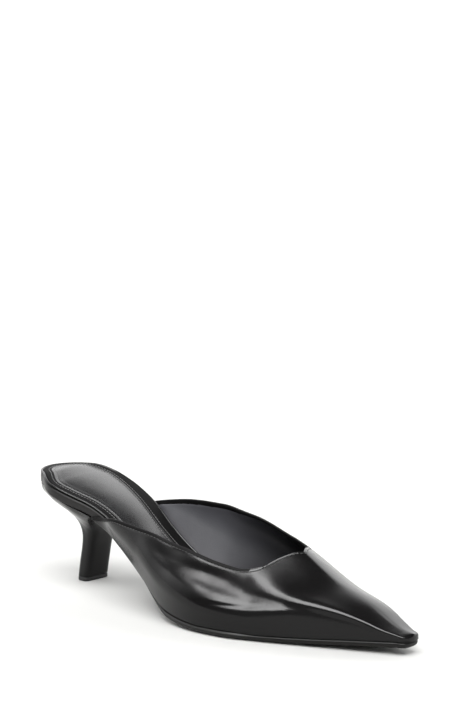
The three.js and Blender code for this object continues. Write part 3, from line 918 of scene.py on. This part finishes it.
top = feather(heel_level(1.0)[0]) - clearance
foot = tip_thickness + over_tip
levels = [(0, edge_turn, 0), (0, edge_turn * 0.3, 0.15), (0, 0, 0.45)]
levels += [(level, 0, 0) for level in np.linspace(0.015, 0.985, 90)]
levels += [(1, 0, -0.5), (1, edge_turn * 0.3, -0.15), (1, edge_turn, 0)]
rings = []
for level, inset, lift in levels:
    x, y = heel_level(level, inset)
    rings.append(np.column_stack((x, y, foot + (top - foot) * level + lift)))
heel = column_of(rings).finish("heel", black_calf)
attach(heel, "root")
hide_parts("heel")

# Top piece: a hard rubber tip pinned under the heel, flat on the floor.
heel_tip_back = 24.9
heel_tip_length = 8.8
rings = []
for inset, z in ((0.35, 0), (0.1, 0.1), (0, 0.35), (0, tip_thickness - 0.25),
                 (0.08, tip_thickness - 0.08), (0.25, tip_thickness)):
    x, y = heel_ring(heel_tip_back, heel_tip_back + heel_tip_length, heel_tip_width, inset)
    rings.append(np.column_stack((x, y, np.full(len(x), z))))


def rubber(name):
    """Hard black rubber, matt, with fine grit in it."""
    material, shader, place = new_finish(name)
    grit = place.node("ShaderNodeTexNoise", inputs={"Vector": place, "Scale": 2200.0, "Detail": 4.0})
    scuffs = place.node("ShaderNodeTexNoise", inputs={"Vector": place, "Scale": 300.0, "Detail": 3.0})
    bump = place.node("ShaderNodeBump", inputs={"Strength": 0.5, "Distance": 0.00006, "Height": grit})
    tone = mixed_colour(place, scuffs, (0.01, 0.01, 0.01), (0.022, 0.022, 0.022))
    place.tree.links.new(tone.socket, shader.inputs["Base Color"])
    place.tree.links.new((0.5 + grit * 0.25).socket, shader.inputs["Roughness"])
    place.tree.links.new(bump.socket, shader.inputs["Normal"])
    return material


heel_tip = column_of(rings).finish("heel_tip", rubber("tip_rubber"))
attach(heel_tip, "root")
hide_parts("heel_tip")

# Studio: a plain pale floor with an even soft light from above, a white wall behind the shoe, a
# dark room in front of it and one long soft box that draws the highlights of the leather.
floor_reach = 40.0
floor_mesh = bpy.data.meshes.new("floor")
corners = [(-floor_reach, -floor_reach, 0), (floor_reach, -floor_reach, 0),
           (floor_reach, floor_reach, 0), (-floor_reach, floor_reach, 0)]
floor_mesh.from_pydata(corners, [], [(0, 1, 2, 3)])
floor = bpy.data.objects.new("floor", floor_mesh)
bpy.context.scene.collection.objects.link(floor)
pale, pale_shader, spot = new_finish("pale_floor")
mottle = spot.node("ShaderNodeTexNoise", inputs={"Vector": spot, "Scale": 8.0})
floor_tone = mixed_colour(spot, mottle, (0.78, 0.78, 0.765), (0.795, 0.795, 0.78))
spot.tree.links.new(floor_tone.socket, pale_shader.inputs["Base Color"])
pale_shader.inputs["Roughness"].default_value = 0.9
pale_shader.inputs["Specular IOR Level"].default_value = 0.1
floor_mesh.materials.append(pale)
bpy.context.scene.view_settings.view_transform = "Standard"

world = bpy.data.worlds.new("studio")
world.use_nodes = True
bpy.context.scene.world = world
tree = world.node_tree
background = tree.nodes["Background"]
coordinates = tree.nodes.new("ShaderNodeTexCoord")
direction = Wire(tree, coordinates.outputs["Generated"])
upward = direction.node("ShaderNodeSeparateXYZ", inputs={"Vector": direction}, out=2)
away = direction.node("ShaderNodeVectorMath", {"operation": "DOT_PRODUCT"},
                      {0: direction, 1: (-0.68, 0.73, 0.0)}, out="Value")
forward = direction.node("ShaderNodeVectorMath", {"operation": "DOT_PRODUCT"},
                         {0: direction, 1: (0.35, -0.94, 0.0)}, out="Value")


def fade(wire, start, end, before, after):
    return wire.node("ShaderNodeMapRange", {"interpolation_type": "SMOOTHSTEP"}, {
        "Value": wire, "From Min": start, "From Max": end, "To Min": before, "To Max": after})


wall = fade(away, -0.3, 0.2, 0.0, 1.0) * fade(upward, 0.64, 0.78, 1.0, 0.0)
glow = wall * fade(upward, 0.05, 0.55, 1.15, 2.4) + fade(forward, 0.6, 0.95, 0.1, 0.4)
sky_tone = direction.node("ShaderNodeVectorMath", {"operation": "SCALE"},
                          {"Vector": (1.0, 1.0, 1.0), "Scale": glow})
tree.links.new(sky_tone.socket, background.inputs["Color"])
background.inputs["Strength"].default_value = 1.0

aim = Vector(in_frame((121.5, 0, 25)))


def point_from(azimuth, elevation):
    """Unit vector from the shoe towards a direction: azimuth 0 is the near side, 90 the toe."""
    turn, rise = math.radians(azimuth), math.radians(elevation)
    return Vector((math.sin(turn) * math.cos(rise), -math.cos(turn) * math.cos(rise), math.sin(rise)))


even = bpy.data.lights.new("even_light", "SUN")
even.energy = 2.9
even.angle = math.radians(60)
even_light = bpy.data.objects.new("even_light", even)
towards_light = point_from(40, 68)
even_light.location = aim + towards_light * 2
even_light.rotation_euler = towards_light.to_track_quat("Z", "Y").to_euler()
even_light.visible_glossy = False
bpy.context.scene.collection.objects.link(even_light)

ceiling = bpy.data.lights.new("soft_box", "AREA")
ceiling.shape = "RECTANGLE"
ceiling.size, ceiling.size_y = 1.4, 1.2
ceiling_glow = 16
ceiling.energy = ceiling_glow * math.pi * ceiling.size * ceiling.size_y
soft_box = bpy.data.objects.new("soft_box", ceiling)
soft_box.location = aim + Vector((0.2, -0.68, 1.3))
soft_box.visible_diffuse = False
bpy.context.scene.collection.objects.link(soft_box)

# Camera: at the photograph's angle to the shoe, with its small roll and shift. Its focal length
# and the point that it aims at are stated in pixels of the picture.
azimuth, elevation, roll = 42.89, 13.43, math.radians(0.25)
distance = 1.1
picture_width, picture_height = 460, 706
focal_pixels = 2233.8
middle_x, middle_y = 221.43, 559.72
back = point_from(azimuth, elevation)
right = Vector((math.cos(math.radians(azimuth)), math.sin(math.radians(azimuth)), 0))
up = back.cross(right)
turned_right = right * math.cos(roll) + up * math.sin(roll)
turned_up = up * math.cos(roll) - right * math.sin(roll)
lens = bpy.data.cameras.new("camera")
lens.sensor_fit = "VERTICAL"
lens.sensor_height = 24
lens.lens = focal_pixels / picture_height * lens.sensor_height
lens.shift_x = (picture_width / 2 - middle_x) / picture_height
lens.shift_y = (middle_y - picture_height / 2) / picture_height
lens.clip_start, lens.clip_end = 0.05, 100
camera = bpy.data.objects.new("camera", lens)
bpy.context.scene.collection.objects.link(camera)
stand = Matrix((turned_right, turned_up, back)).transposed().to_4x4()
stand.translation = aim + back * distance
camera.matrix_world = stand
bpy.context.scene.camera = camera
